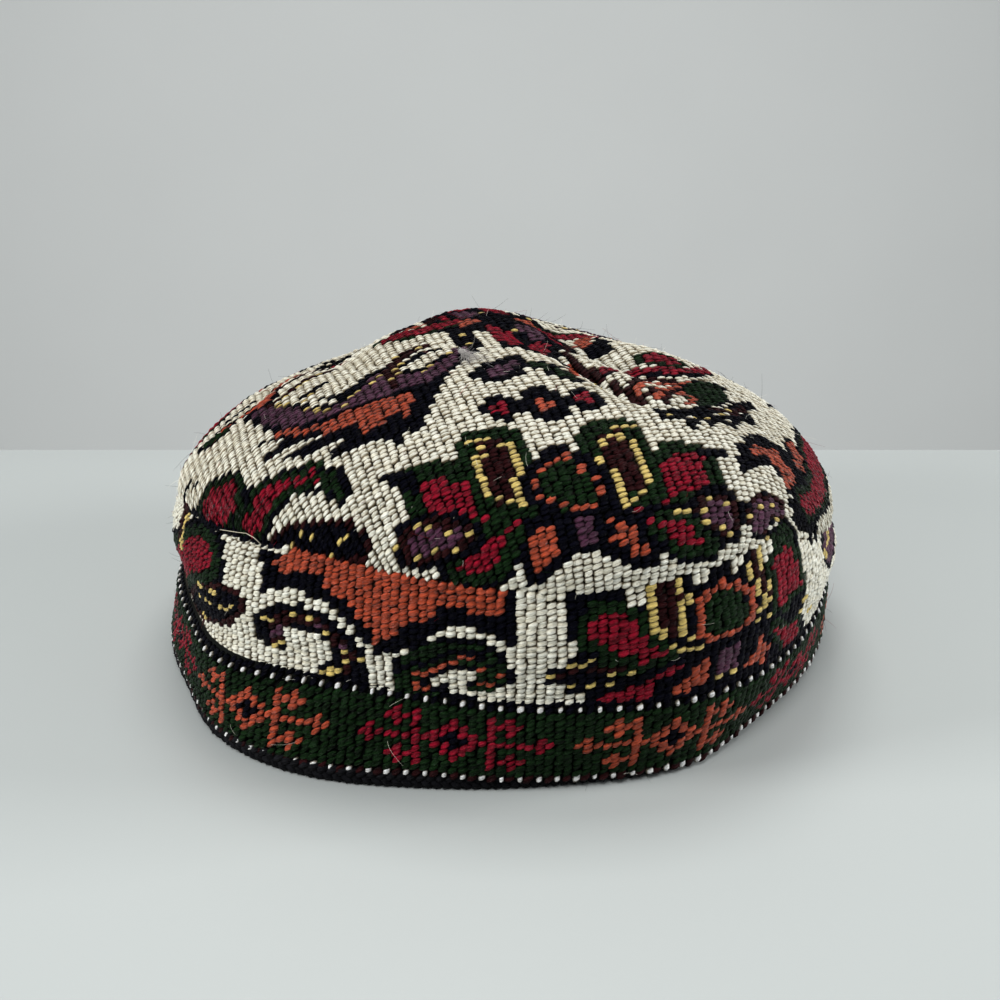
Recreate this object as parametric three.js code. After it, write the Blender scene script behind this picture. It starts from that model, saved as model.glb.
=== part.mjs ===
// A round embroidered skullcap standing on its hem.
// Millimetres, +Z up. The front of the cap looks towards -Y and the hem stands on z = 0.
// Four cloth pieces are sewn one above the other: edge_braid, band, side_wall and crown_top.
import * as THREE from 'three';

// Driving sizes
const hemRadius = 90.5;      // mean radius of the hem, over the cloth
const capHeight = 83;        // hem to the middle of the crown, before its dents and swells
const seamHeight = 48;       // hem to the crown seam, at the front
const bandWidth = 18.2;      // height of the patterned band
const braidHeight = 4.2;     // height of the braid along the hem
const crownCloth = 2.6;      // crown, stitches and backing together
const wallCloth = 2.6;       // side wall
const bandCloth = 2.9;       // folded and stitched band
const braidCloth = 3.3;      // rolled braid
const sewnGap = 0.3;         // clearance between two sewn pieces
const seamTuck = 1.0;        // how far a seam is drawn in
const seamReach = 3.2;       // height over which a seam draws the cloth in
const bandBow = 0.6;         // how much of the band's slope it makes near the hem: 0 is straight
const waistRise = 4.5;       // height of the waist above the band
const waistReach = 5;        // height over which the wall sinks into the waist
const creaseBlend = 5;       // how tightly the stretches of a crease join
const dentStart = 0.15;      // share of the way up the crown where dents reach their full depth

// Mesh fineness
const around = 72;           // steps round the cap
const crownLevels = 22;      // steps from the crown seam to the top
const wallLevels = 6;
const bandLevels = 4;
const braidLevels = 2;

// The plan of the soft cap, seen from above. Azimuth 0 is the front and +90 the wearer's right side.
// hem, band and seam are radii as shares of hemRadius, at the hem, the top of the band and the
// crown seam, and waist is how far the wall sinks in just above the band. lift is the height of the
// crown seam as a share of seamHeight. full says how full the crown stands above the seam: 2 is a
// round section, more is squarer and less is more pointed.
const plan = [
  { azimuth: -165, hem: 0.995, band: 0.985, waist: 0.010, seam: 0.955, lift: 0.92, full: 1.72 },
  { azimuth: -120, hem: 0.990, band: 0.960, waist: 0.020, seam: 0.940, lift: 0.88, full: 1.60 },
  { azimuth: -85, hem: 0.995, band: 0.945, waist: 0.032, seam: 0.930, lift: 0.86, full: 1.60 },
  { azimuth: -60, hem: 0.992, band: 0.965, waist: 0.030, seam: 0.945, lift: 0.99, full: 1.88 },
  { azimuth: -43, hem: 1.056, band: 1.025, waist: 0.026, seam: 0.965, lift: 1.03, full: 2.05 },
  { azimuth: -28, hem: 1.070, band: 1.000, waist: 0.018, seam: 0.965, lift: 1.04, full: 2.10 },
  { azimuth: -10, hem: 1.020, band: 0.990, waist: 0.010, seam: 0.990, lift: 1.01, full: 2.10 },
  { azimuth: 10, hem: 0.994, band: 1.035, waist: 0.012, seam: 1.020, lift: 0.96, full: 2.15 },
  { azimuth: 28, hem: 1.005, band: 1.072, waist: 0.014, seam: 1.045, lift: 1.00, full: 2.20 },
  { azimuth: 45, hem: 0.938, band: 1.035, waist: 0.012, seam: 1.010, lift: 1.02, full: 2.12 },
  { azimuth: 66, hem: 0.955, band: 0.990, waist: 0.004, seam: 0.985, lift: 0.80, full: 1.94 },
  { azimuth: 85, hem: 0.990, band: 0.985, waist: 0.002, seam: 0.985, lift: 0.72, full: 1.86 },
  { azimuth: 120, hem: 1.000, band: 0.985, waist: 0.006, seam: 0.960, lift: 0.84, full: 1.74 },
  { azimuth: 150, hem: 0.995, band: 0.990, waist: 0.010, seam: 0.955, lift: 0.92, full: 1.70 },
];

// Soft dents of the crown, or swells where the depth is negative. east and north are the place in
// plan, reach is the radius of the dent, all with depth as shares of hemRadius.
const dents = [
  { name: 'top', east: -0.15, north: 0.10, reach: 0.22, depth: -0.028 },
  { name: 'dip left of the top', east: -0.44, north: 0.26, reach: 0.20, depth: 0.085 },
  { name: 'left shoulder', east: -0.64, north: -0.06, reach: 0.14, depth: -0.018 },
  { name: 'dip right of the top', east: 0.46, north: 0.28, reach: 0.26, depth: 0.058 },
  { name: 'lobe behind the crease', east: 0.48, north: -0.08, reach: 0.16, depth: -0.016 },
  { name: 'front of the top', east: 0.02, north: -0.52, reach: 0.22, depth: -0.015 },
  { name: 'hollow at the right front', east: 0.62, north: -0.42, reach: 0.16, depth: 0.018 },
  { name: 'soft back of the crown', east: 0.05, north: 0.62, reach: 0.28, depth: 0.030 },
];

// The sharp crease to the right of the top. Its line runs through these places in plan; width is
// half the valley and depth its depth, all as shares of hemRadius.
const crease = [
  { east: 0.15, north: 0.24, width: 0.075, depth: 0.010 },
  { east: 0.19, north: 0.04, width: 0.080, depth: 0.045 },
  { east: 0.27, north: -0.14, width: 0.080, depth: 0.062 },
  { east: 0.38, north: -0.28, width: 0.080, depth: 0.052 },
  { east: 0.50, north: -0.36, width: 0.090, depth: 0.022 },
  { east: 0.64, north: -0.38, width: 0.100, depth: 0.000 },
];

const radians = Math.PI / 180;
const bandBottom = braidHeight + sewnGap;
const bandTop = bandBottom + bandWidth;
const wallBottom = bandTop + sewnGap;

// A smooth closed curve through one column of the plan.
function planAt(azimuth, column) {
  const count = plan.length;
  const turn = ((azimuth - plan[0].azimuth) % 360 + 360) % 360;
  const offset = (i) => plan[((i % count) + count) % count].azimuth - plan[0].azimuth
    + 360 * Math.floor(i / count);
  const value = (i) => plan[((i % count) + count) % count][column];
  let k = 0;
  while (offset(k + 1) <= turn) k += 1;
  const slope = (i) => (value(i + 1) - value(i - 1)) / (offset(i + 1) - offset(i - 1));
  const span = offset(k + 1) - offset(k);
  const u = (turn - offset(k)) / span;
  const stay = 2 * u ** 3 - 3 * u ** 2 + 1;
  const leave = (u ** 3 - 2 * u ** 2 + u) * span * slope(k);
  const arrive = (u ** 3 - u ** 2) * span * slope(k + 1);
  return stay * value(k) + leave + (1 - stay) * value(k + 1) + arrive;
}

function seamHeightAt(azimuth) {
  return seamHeight * planAt(azimuth, 'lift');
}

// How far a seam at the given distance draws the cloth in.
function tuck(distance) {
  return seamTuck * Math.exp(-((distance / seamReach) ** 2));
}

// Radius of the cloth below the crown seam, at a height above the hem.
function skirtRadius(azimuth, z) {
  const hem = hemRadius * planAt(azimuth, 'hem');
  const band = hemRadius * planAt(azimuth, 'band');
  const seam = hemRadius * planAt(azimuth, 'seam');
  const seamZ = seamHeightAt(azimuth);
  if (z <= bandTop) {
    const rise = z / bandTop;
    const eased = rise + bandBow * rise * (1 - rise);
    return hem + (band - hem) * eased - tuck(bandTop - z);
  }
  const rise = (z - bandTop) / (seamZ - bandTop);
  const swell = seamTuck * Math.sin(Math.PI * rise);
  const fromWaist = (z - bandTop - waistRise) / waistReach;
  const sunk = hemRadius * planAt(azimuth, 'waist') * Math.exp(-(fromWaist ** 2));
  return band + (seam - band) * rise + swell - sunk - tuck(z - bandTop) - tuck(seamZ - z);
}

function onCap(azimuth, radius, z) {
  const angle = azimuth * radians;
  return new THREE.Vector3(radius * Math.sin(angle), -radius * Math.cos(angle), z);
}

// Depth of the crease below the crown at a place in plan. The stretches blend, so that the valley
// has no step where its line bends.
function creaseDepth(x, y) {
  let blended = 0;
  for (let i = 0; i + 1 < crease.length; i += 1) {
    const from = crease[i];
    const to = crease[i + 1];
    const start = new THREE.Vector2(from.east, from.north).multiplyScalar(hemRadius);
    const along = new THREE.Vector2(to.east, to.north).multiplyScalar(hemRadius).sub(start);
    const place = new THREE.Vector2(x, y).sub(start);
    const u = THREE.MathUtils.clamp(place.dot(along) / along.lengthSq(), 0, 1);
    const away = place.addScaledVector(along, -u).length();
    const width = hemRadius * THREE.MathUtils.lerp(from.width, to.width, u);
    const depth = hemRadius * THREE.MathUtils.lerp(from.depth, to.depth, u);
    const here = depth * Math.exp(-((away / width) ** 2));
    blended += here ** creaseBlend;
  }
  return blended ** (1 / creaseBlend);
}

function dentDepth(x, y) {
  let total = creaseDepth(x, y);
  for (const dent of dents) {
    const away = Math.hypot(x - dent.east * hemRadius, y - dent.north * hemRadius);
    total += dent.depth * hemRadius * Math.exp(-((away / (dent.reach * hemRadius)) ** 2));
  }
  return total;
}

// A place on the outside of the crown. up runs from 0 at the seam to 1 at the top.
function crownPoint(azimuth, up) {
  const seamZ = seamHeightAt(azimuth) + sewnGap;
  const seam = hemRadius * planAt(azimuth, 'seam');
  const power = 2 / planAt(azimuth, 'full');
  const angle = up * 90 * radians;
  const out = up < 1 ? Math.cos(angle) ** power : 0;
  const rise = Math.sin(angle) ** power;
  const z = seamZ + (capHeight - seamZ) * rise;
  const base = onCap(azimuth, seam * out - tuck(z - seamZ), z);
  if (up === 1) base.set(0, 0, capHeight);
  const middle = new THREE.Vector3(0, 0, seamHeight - hemRadius / 2);
  const inwards = middle.sub(base).normalize();
  const clearOfSeam = THREE.MathUtils.smoothstep(up, 0, dentStart);
  return base.addScaledVector(inwards, clearOfSeam * dentDepth(base.x, base.y));
}

function ringOf(pointAt) {
  return Array.from({ length: around }, (_, i) => pointAt(i * 360 / around));
}

// A closed body from rings of points: every ring joins the next, and the last joins the first.
// A ring of one point is a pole.
function bodyFromRings(rings, closed) {
  const vertices = [];
  const starts = [];
  for (const ring of rings) {
    starts.push(vertices.length / 3);
    for (const point of ring) vertices.push(point.x, point.y, point.z);
  }
  const faces = [];
  const last = closed ? rings.length : rings.length - 1;
  for (let k = 0; k < last; k += 1) {
    const next = (k + 1) % rings.length;
    for (let i = 0; i < around; i += 1) {
      const j = (i + 1) % around;
      const low = rings[k].length === 1 ? null : [starts[k] + i, starts[k] + j];
      const high = rings[next].length === 1 ? null : [starts[next] + i, starts[next] + j];
      if (low && high) {
        faces.push(low[0], low[1], high[1]);
        faces.push(low[0], high[1], high[0]);
      } else if (low) {
        faces.push(low[0], low[1], starts[next]);
      } else if (high) {
        faces.push(starts[k], high[1], high[0]);
      }
    }
  }
  const geometry = new THREE.BufferGeometry();
  geometry.setAttribute('position', new THREE.Float32BufferAttribute(vertices, 3));
  geometry.setIndex(faces);
  geometry.computeVertexNormals();
  return geometry;
}

// A strip of cloth round the cap between two heights, as an outside and an inside wall.
function stripGeometry(bottomAt, topAt, cloth, levels) {
  const wall = (inset, k) => ringOf((azimuth) => {
    const bottom = bottomAt(azimuth);
    const z = bottom + (topAt(azimuth) - bottom) * k / levels;
    return onCap(azimuth, skirtRadius(azimuth, z) - inset, z);
  });
  const steps = Array.from({ length: levels + 1 }, (_, k) => k);
  const outside = steps.map((k) => wall(0, k));
  const inside = steps.map((k) => wall(cloth, k)).reverse();
  return bodyFromRings([...outside, ...inside], true);
}

function edgeBraidGeometry() {
  return stripGeometry(() => 0, () => braidHeight, braidCloth, braidLevels);
}

function bandGeometry() {
  return stripGeometry(() => bandBottom, () => bandTop, bandCloth, bandLevels);
}

function sideWallGeometry() {
  return stripGeometry(() => wallBottom, seamHeightAt, wallCloth, wallLevels);
}

// The crown is one round cloth: its inside follows the outside at the cloth's thickness.
function crownGeometry() {
  const outside = [];
  const inside = [];
  for (let k = 0; k < crownLevels; k += 1) {
    const up = k / crownLevels;
    outside.push(ringOf((azimuth) => crownPoint(azimuth, up)));
    inside.push(ringOf((azimuth) => {
      const point = crownPoint(azimuth, up);
      if (k === 0) return onCap(azimuth, Math.hypot(point.x, point.y) - crownCloth, point.z);
      const step = 360 / around / 2;
      const rise = 1 / crownLevels / 2;
      const across = crownPoint(azimuth + step, up).sub(crownPoint(azimuth - step, up));
      const along = crownPoint(azimuth, up + rise).sub(crownPoint(azimuth, up - rise));
      const outwards = across.cross(along).normalize();
      return point.addScaledVector(outwards, -crownCloth);
    }));
  }
  const top = crownPoint(0, 1);
  outside.push([top]);
  inside.push([top.clone().setZ(top.z - crownCloth)]);
  return bodyFromRings([...outside, ...inside.reverse()], true);
}

function cloth(name, geometry, colour, roughness) {
  const material = new THREE.MeshStandardMaterial({ color: colour, roughness, metalness: 0 });
  const piece = new THREE.Mesh(geometry, material);
  piece.name = name;
  return piece;
}

const ivorySilk = 0xd9d4c4;
const greenSilk = 0x1c3322;
const blackBraid = 0x121319;

const skullcap = new THREE.Group();
skullcap.add(
  cloth('edge_braid', edgeBraidGeometry(), blackBraid, 0.9),
  cloth('band', bandGeometry(), greenSilk, 0.85),
  cloth('side_wall', sideWallGeometry(), ivorySilk, 0.8),
  cloth('crown_top', crownGeometry(), ivorySilk, 0.8),
);

// The cap is set over the origin: the middle of its outline in plan, on the surface below it.
const outline = new THREE.Box3().setFromObject(skullcap);
const centre = outline.getCenter(new THREE.Vector3());
skullcap.position.set(-centre.x, -centre.y, -outline.min.z);

export default skullcap;
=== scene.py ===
import math

import bpy
import numpy as np
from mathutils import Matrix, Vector
from mathutils.bvhtree import BVHTree


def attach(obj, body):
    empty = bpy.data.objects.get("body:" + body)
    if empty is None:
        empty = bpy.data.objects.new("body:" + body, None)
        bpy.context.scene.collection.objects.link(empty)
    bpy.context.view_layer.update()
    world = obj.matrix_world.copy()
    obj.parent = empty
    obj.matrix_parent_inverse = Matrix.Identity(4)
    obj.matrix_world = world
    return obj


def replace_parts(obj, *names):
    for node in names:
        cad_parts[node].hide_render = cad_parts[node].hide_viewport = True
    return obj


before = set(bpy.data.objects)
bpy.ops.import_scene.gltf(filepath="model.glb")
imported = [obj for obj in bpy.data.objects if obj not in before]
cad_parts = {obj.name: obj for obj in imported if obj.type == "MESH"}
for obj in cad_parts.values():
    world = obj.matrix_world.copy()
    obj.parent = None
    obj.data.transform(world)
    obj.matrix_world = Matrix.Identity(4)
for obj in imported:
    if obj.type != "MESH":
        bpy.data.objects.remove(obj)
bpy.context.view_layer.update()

# Camera, table, backdrop and light.
# The cap stands on a plain pale table, whose far edge is behind it, before a plain pale wall. Soft
# light falls from both sides and from above. The camera looks down by about 20 degrees.
camera_place = (0.00089, -0.34254, 0.16180)
camera_tilt = 69.645
camera_lens = 48.42
table_size, table_end = 4.0, 0.149
backdrop_size, backdrop_place = 2.4, (0, 1.5, -0.1)
cap_middle = (0, 0, 0.03)

camera_data = bpy.data.cameras.new("camera")
camera_data.lens = camera_lens
camera_data.clip_start = 0.01
camera = bpy.data.objects.new("camera", camera_data)
camera.location = camera_place
camera.rotation_euler = (math.radians(camera_tilt), 0, 0)
bpy.context.collection.objects.link(camera)
bpy.context.scene.camera = camera


class Amount:
    """A number that varies over a surface, held as a node's socket."""

    def __init__(self, finish, socket):
        self.finish, self.socket = finish, socket

    def maths(self, operation, first, second):
        return self.finish.node("Math", {"operation": operation}, {0: first, 1: second}, 0)

    def __add__(self, other):
        return self.maths("ADD", self, other)

    def __sub__(self, other):
        return self.maths("SUBTRACT", self, other)

    def __mul__(self, other):
        return self.maths("MULTIPLY", self, other)

    def sine(self):
        return self.maths("SINE", self, 0.0)


class Finish:
    """A material, its shader and the nodes that feed it."""

    def __init__(self, name, surface):
        self.material = bpy.data.materials.new(name)
        self.material.use_nodes = True
        self.tree = self.material.node_tree
        self.shader = self.tree.nodes["Principled BSDF"]
        for socket, value in surface.items():
            self.feed(self.shader.inputs[socket], value)

    def feed(self, socket, value):
        if isinstance(value, Amount):
            self.tree.links.new(value.socket, socket)
        elif isinstance(value, tuple) and len(value) == 3 and socket.type == "RGBA":
            socket.default_value = (*value, 1)
        else:
            socket.default_value = value

    def node(self, kind, settings, sockets, output):
        node = self.tree.nodes.new("ShaderNode" + kind)
        for setting, value in settings.items():
            setattr(node, setting, value)
        for socket, value in sockets.items():
            self.feed(node.inputs[socket], value)
        return Amount(self, node.outputs[output])

    def blend(self, share, first, second):
        return self.node("Mix", {"data_type": "RGBA"}, {0: share, 6: first, 7: second}, 2)

    def bump(self, height, strength, distance):
        sockets = {"Height": height, "Strength": strength, "Distance": distance}
        self.feed(self.shader.inputs["Normal"], self.node("Bump", {}, sockets, "Normal"))

    def colour(self, colour):
        self.feed(self.shader.inputs["Base Color"], colour)


def smooth_board(name, colour, smudge, roughness):
    finish = Finish(name, {"Roughness": roughness})
    place = finish.node("TexCoord", {}, {}, "Object")
    cloud = finish.node("TexNoise", {}, {"Vector": place, "Scale": 5.0, "Detail": 3.0}, "Fac")
    finish.colour(finish.blend(cloud, colour, smudge))
    return finish.material


bpy.ops.object.select_all(action="DESELECT")
bpy.ops.mesh.primitive_plane_add(size=table_size, location=(0, table_end - table_size / 2, 0))
table = bpy.context.active_object
table.name = "table_top"
table_finish = smooth_board("pale table", (0.47, 0.495, 0.485), (0.44, 0.465, 0.455), 0.5)
table.data.materials.append(table_finish)
bpy.ops.mesh.primitive_plane_add(size=backdrop_size, location=backdrop_place, rotation=(math.pi / 2, 0, 0))
backdrop = bpy.context.active_object
backdrop.name = "backdrop"
backdrop_finish = smooth_board("pale wall", (0.53, 0.545, 0.535), (0.505, 0.52, 0.51), 0.7)
backdrop.data.materials.append(backdrop_finish)

world = bpy.data.worlds.new("soft room light")
world.use_nodes = True
sky = world.node_tree.nodes["Background"]
sky.inputs["Color"].default_value = (0.93, 0.97, 1.0, 1)
sky.inputs["Strength"].default_value = 0.26
bpy.context.scene.world = world
view = bpy.context.scene.view_settings
view.view_transform = "Standard"
view.gamma = 0.9
view.exposure = 0.20
soft_lights = [
    # name, place, point it faces, size in metres, power in watts
    ("window above", (-0.05, -0.50, 0.70), cap_middle, 0.30, 2.6),
    ("window at the left", (-1.00, -0.30, 0.36), cap_middle, 0.40, 8.4),
    ("window at the right", (0.95, 0.02, 0.36), cap_middle, 0.40, 7.0),
    ("glow behind the cap", (0.0, 0.10, 0.55), cap_middle, 0.20, 1.0),
    ("lamp on the backdrop", (0.0, 0.60, -0.15), (0, 1.5, -0.15), 2.8, 14.2),
]
for light_name, place, aim, size, power in soft_lights:
    light_data = bpy.data.lights.new(light_name, "AREA")
    light_data.size = size
    light_data.energy = power
    light = bpy.data.objects.new(light_name, light_data)
    light.location = place
    light.rotation_euler = (Vector(aim) - Vector(place)).to_track_quat("-Z", "Y").to_euler()
    bpy.context.collection.objects.link(light)

# Braided edge.
# A cord plaited from three strands of black thread, sewn along the hem. The cap stands on it.
# It runs round under the lowest row of the band.
MM = 0.001
cap_axis = np.array((0.05, 1.29, 0.0)) * MM
azimuths = 144


def scan(node, aims):
    """The outside of a cloth solid, column by column round the cap, from rays aimed in at its axis.
    aims gives, for each level from the foot up, the height aimed at and the ray's slope in degrees."""
    reach = 0.2              # metres, from well outside the cap
    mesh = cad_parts[node].data
    tree = BVHTree.FromPolygons([v.co[:] for v in mesh.vertices], [p.vertices[:] for p in mesh.polygons])
    columns = []
    for turn in range(azimuths):
        around = math.radians(turn * 360 / azimuths)
        column = []
        for height, slope in aims:
            flat, rise = math.cos(math.radians(slope)), math.sin(math.radians(slope))
            out = Vector((math.sin(around) * flat, -math.cos(around) * flat, rise))
            target = Vector((cap_axis[0], cap_axis[1], height))
            hit = tree.ray_cast(target + out * reach, -out, reach)[0]
            if hit is not None:
                column.append(hit[:])
        columns.append(np.array(column))
    return columns


def even_levels(columns, levels):
    """Each column's points, spaced evenly along the cloth, as an array [level, azimuth, 3]."""
    grid = np.zeros((levels, len(columns), 3))
    lengths = np.zeros(len(columns))
    for turn, column in enumerate(columns):
        along = np.concatenate(([0], np.cumsum(np.linalg.norm(np.diff(column, axis=0), axis=1))))
        lengths[turn] = along[-1]
        for axis in range(3):
            grid[:, turn, axis] = np.interp(np.linspace(0, along[-1], levels), along, column[:, axis])
    return grid, lengths


def eased(grid):
    """Takes the facets out of a sampled surface, with its first and last levels kept."""
    for _ in range(2):
        grid = (np.roll(grid, 1, 1) + 2 * grid + np.roll(grid, -1, 1)) / 4
        inner = (grid[:-2] + 2 * grid[1:-1] + grid[2:]) / 4
        grid = np.concatenate((grid[:1], inner, grid[-1:]))
    return grid


def look_up(grid, level, azimuth):
    """Points of a sampled surface. level runs from 0 at its foot to 1, azimuth is in degrees."""
    steps = grid.shape[0] - 1
    up = np.clip(level, 0, 1) * steps
    low = np.clip(np.floor(up).astype(int), 0, steps - 1)
    turn = (azimuth / 360 * azimuths) % azimuths
    left = np.floor(turn).astype(int) % azimuths
    right = (left + 1) % azimuths
    rise = (up - low)[..., None]
    sweep = (turn - np.floor(turn))[..., None]
    lower = grid[low, left] * (1 - sweep) + grid[low, right] * sweep
    upper = grid[low + 1, left] * (1 - sweep) + grid[low + 1, right] * sweep
    return lower * (1 - rise) + upper * rise


def unit(vectors):
    return vectors / np.maximum(np.linalg.norm(vectors, axis=-1, keepdims=True), 1e-12)


def make_piece(name, points, triangles, finish, slot, numbers, strand=None):
    """A mesh piece, smooth all over, that rides on the cap. numbers holds one value per vertex for each
    named attribute, and strand a flat place per vertex for the thread's own grain."""
    mesh = bpy.data.meshes.new(name)
    mesh.vertices.add(len(points))
    mesh.vertices.foreach_set("co", np.asarray(points, dtype=np.float32).ravel())
    count = len(triangles)
    mesh.loops.add(count * 3)
    mesh.loops.foreach_set("vertex_index", np.asarray(triangles, dtype=np.int32).ravel())
    mesh.polygons.add(count)
    mesh.polygons.foreach_set("loop_start", np.arange(0, count * 3, 3, dtype=np.int32))
    mesh.update(calc_edges=True)
    mesh.validate()
    for label, values in numbers.items():
        layer = mesh.attributes.new(label, "FLOAT", "POINT")
        layer.data.foreach_set("value", np.asarray(values, dtype=np.float32))
    if strand is not None:
        layer = mesh.uv_layers.new(name="strand")
        corner_places = np.asarray(strand, dtype=np.float32)[np.asarray(triangles).ravel()]
        layer.data.foreach_set("uv", corner_places.ravel())
    mesh.polygons.foreach_set("use_smooth", np.ones(count, dtype=bool))
    mesh.materials.append(finish.material)
    piece = bpy.data.objects.new(name, mesh)
    bpy.context.collection.objects.link(piece)
    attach(piece, "root")
    return piece


def tube(path, radius, sides, closed):
    """Points and triangles of a round tube along a path, which closes on itself or has flat ends."""
    path = np.asarray(path)
    if closed:
        ahead = np.roll(path, -1, 0) - np.roll(path, 1, 0)
    else:
        ahead = np.gradient(path, axis=0)
    ahead = unit(ahead)
    side = unit(np.cross(ahead, np.array((0.03, 0.05, 1.0))))
    over = np.cross(side, ahead)
    turn = np.arange(sides) * 2 * math.pi / sides
    radius = np.broadcast_to(radius, len(path))
    ring = side[:, None] * np.cos(turn)[None, :, None] + over[:, None] * np.sin(turn)[None, :, None]
    points = (path[:, None] + ring * radius[:, None, None]).reshape(-1, 3)
    steps = len(path) if closed else len(path) - 1
    triangles = []
    for step in range(steps):
        here, there = step * sides, (step + 1) % len(path) * sides
        for edge in range(sides):
            after = (edge + 1) % sides
            triangles.append((here + edge, there + after, there + edge))
            triangles.append((here + edge, here + after, there + after))
    if not closed:
        for corner in range(1, sides - 1):
            last = (len(path) - 1) * sides
            triangles.append((0, corner + 1, corner))
            triangles.append((last, last + corner, last + corner + 1))
    return points, np.array(triangles)


def thread_finish(name, colour, depth, roughness, sheen, shine):
    """Loose silk thread: twisted plies along each stitch, and stitches that differ a little in tone.
    Light and shade are painted into the colour: each ply is painted lighter on its ridge and darker in
    its hollow, and a per-vertex share paints shade down each stitch's sides, ends and lower edge.
    depth is how bright the painted shade on the dark side of a stitch is beside its colour."""
    finish = Finish(name, {
        "Roughness": roughness, "Sheen Weight": sheen, "Sheen Roughness": 0.4, "Specular IOR Level": shine,
    })
    tint = finish.node("Attribute", {"attribute_name": "tint"}, {}, "Fac")
    crest_shade = finish.node("Attribute", {"attribute_name": "crest_shade"}, {}, "Fac")
    strand = finish.node("UVMap", {"uv_map": "strand"}, {}, "UV")
    length = finish.node("SeparateXYZ", {}, {"Vector": strand}, "X")
    width = finish.node("SeparateXYZ", {}, {"Vector": strand}, "Y")
    stretched = finish.node("Mapping", {}, {"Vector": strand, "Scale": (0.9, 5.0, 1.0)}, "Vector")
    fibres = finish.node("TexNoise", {}, {"Vector": stretched, "Scale": 1.0, "Detail": 2.0}, "Fac")
    # Painted light and shade of the plies: lighter on each ply's ridge and darker in its hollow. The same
    # heights also bump the surface.
    twist = (width * 5.2 + length * 1.2).sine() * 0.5 + 0.5
    plies = twist * 0.35 + fibres * 0.65
    place = finish.node("TexCoord", {}, {}, "Object")
    wear = finish.node("TexNoise", {}, {"Vector": place, "Scale": 60.0, "Detail": 2.0}, "Fac")
    # dark and light are the painted shade and painted highlight of the plies, also spread by random tone;
    # shaded is the deeper, warmer painted shade between stitches.
    dark = tuple(channel * depth for channel in colour)
    light = tuple(min(channel * 1.28, 0.93) for channel in colour)
    shaded = tuple(channel * depth * share for channel, share in zip(colour, (0.34, 0.29, 0.22)))
    lit = finish.blend(tint * 0.5 + plies * 1.3 + wear * 0.3 - 0.50, dark, light)
    # Painted shade: a stitch's sides, ends and lower edge blend into the shaded tone, and its crest into the
    # lit one.
    finish.colour(finish.blend(crest_shade * 3.2 - 1.35, shaded, lit))
    finish.bump(plies, 1.0, 0.0009)
    return finish


black_braid = thread_finish("black plaited thread", (0.006, 0.006, 0.008), 0.4, 0.6, 0.0, 0.08)

braid_middle, braid_inset = 2.15 * MM, 1.45 * MM
braid_plaits, braid_steps = 88, 10
strand_radius, strand_sides = 0.92 * MM, 6
strand_rise, strand_depth = 1.2 * MM, 0.62 * MM
strand_grain = 900           # how often the thread's twist repeats along a strand
braid_heights = (0.5, 1.2, 2.0, 2.8, 3.6)
braid_scan = scan("edge_braid", [(height * MM, 0) for height in braid_heights])
braid_grid, _ = even_levels(braid_scan, len(braid_heights))
braid_turn = np.arange(braid_plaits * braid_steps) / (braid_plaits * braid_steps)
braid_out = look_up(braid_grid, np.full(len(braid_turn), 0.5), braid_turn * 360)
braid_out[:, 2] = 0
braid_away = unit(braid_out - cap_axis)
braid_points, braid_faces, braid_tint, braid_uv = [], [], [], []
for number in range(3):
    phase = 2 * math.pi * (braid_turn * braid_plaits + number / 3)
    path = braid_out - braid_away * (braid_inset - strand_depth * np.sin(2 * phase))[:, None]
    path[:, 2] = braid_middle + strand_rise * np.sin(phase)
    points, triangles = tube(path, strand_radius, strand_sides, closed=True)
    braid_faces.append(triangles + number * len(points))
    braid_points.append(points)
    braid_tint.append(np.full(len(points), 0.3 + 0.2 * number))
    along = np.repeat(braid_turn * strand_grain, strand_sides)
    braid_uv.append(np.stack((along, np.tile(np.arange(strand_sides) / 3.0, len(path))), 1))
braid = make_piece(
    "edge_braid_plait", np.concatenate(braid_points), np.concatenate(braid_faces), black_braid,
    "black_braid", {"tint": np.concatenate(braid_tint), "crest_shade": np.ones(3 * len(points))},
    np.concatenate(braid_uv),
)
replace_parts(braid, "edge_braid")

# Band.
# A strip of cloth folded over the hem and covered with slanting stitches of dark green silk, with a
# row of hooked diamonds in orange and crimson and a line of single white stitches along each edge.
band_foot, band_head = 4.5 * MM, 22.7 * MM
band_levels = 19
cloth_inset = 0.45 * MM      # how far the cloth's outside lies under the solid's
lining_gap = 0.15 * MM       # how far the cloth's inside stays short of the solid's
band_cloth = 2.9 * MM        # how thick the solid is


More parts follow.
